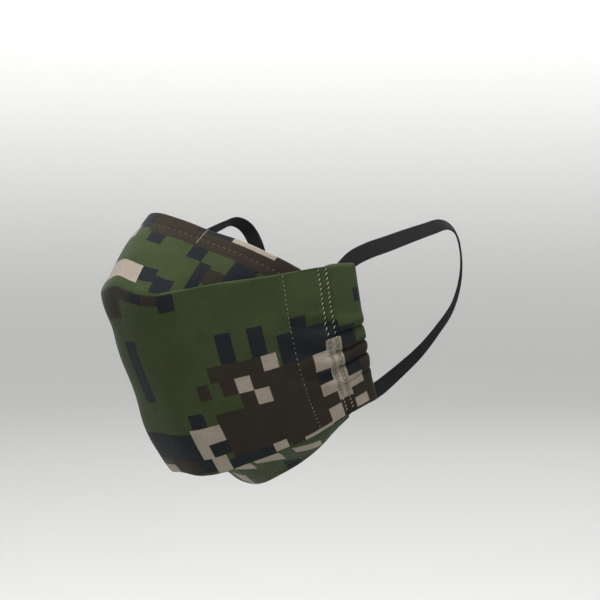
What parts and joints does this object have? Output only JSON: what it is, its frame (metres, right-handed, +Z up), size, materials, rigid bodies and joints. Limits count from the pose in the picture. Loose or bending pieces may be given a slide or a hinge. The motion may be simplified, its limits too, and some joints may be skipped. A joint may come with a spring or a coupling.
{
  "type": "cloth face mask",
  "caption": "Sewn cloth face mask in a worn shape, with a folded nose panel, a chin panel, side channels and flat elastic ear loops, in a square-block camouflage print.",
  "frame": {"origin": "middle of the mask's top edge, where it rests on the bridge of the wearer's nose", "axes": "+Z up as worn, -Y the way the wearer faces, +X to the wearer's left; X is the left-right mirror axis"},
  "size_m": [0.168, 0.1625, 0.139],
  "materials": {
    "camo_cloth": "smooth printed woven polyester, square-block camouflage of green, brown, navy and tan, faint satin sheen",
    "lining_cloth": "soft matte knitted lining, charcoal",
    "elastic": "flat ribbed black elastic, matte",
    "nose_wire": "soft bare aluminium strip"
  },
  "bodies": {
    "mask_body": {"center_panel_outer": "camo_cloth", "center_panel_lining": "lining_cloth", "side_channel_left": "camo_cloth", "ear_elastic_left_in_channel": "elastic", "ear_elastic_left_lap": "elastic", "side_channel_right": "camo_cloth", "ear_elastic_right_in_channel": "elastic", "ear_elastic_right_lap": "elastic"},
    "nose_panel": {"nose_panel_outer": "camo_cloth", "nose_panel_lining": "lining_cloth", "nose_wire": "nose_wire", "nose_wire_channel": "camo_cloth"},
    "chin_panel": {"chin_panel_outer": "camo_cloth", "chin_panel_lining": "lining_cloth", "chin_hem": "camo_cloth"},
    "ear_loop_left": {"ear_loop_left": "elastic"},
    "ear_loop_right": {"ear_loop_right": "elastic"}
  },
  "joints": [
    {"name": "nose_panel_lift", "type": "hinge", "parent": "mask_body", "child": "nose_panel", "pos_m": [0, 0.066, -0.025], "axis": [-1, 0, 0], "range_deg": [0, 12]},
    {"name": "chin_panel_drop", "type": "hinge", "parent": "mask_body", "child": "chin_panel", "pos_m": [0, 0.084, -0.092], "axis": [1, 0, 0], "range_deg": [0, 12]},
    {"name": "ear_loop_left_swing", "type": "hinge", "parent": "mask_body", "child": "ear_loop_left", "pos_m": [0.0668, 0.066, -0.019], "axis": [0.0029, 0.37, -0.929], "range_deg": [-45, 110]},
    {"name": "ear_loop_right_swing", "type": "hinge", "parent": "mask_body", "child": "ear_loop_right", "pos_m": [-0.0668, 0.066, -0.019], "axis": [0.0029, -0.37, 0.929], "range_deg": [-45, 110]}
  ]
}
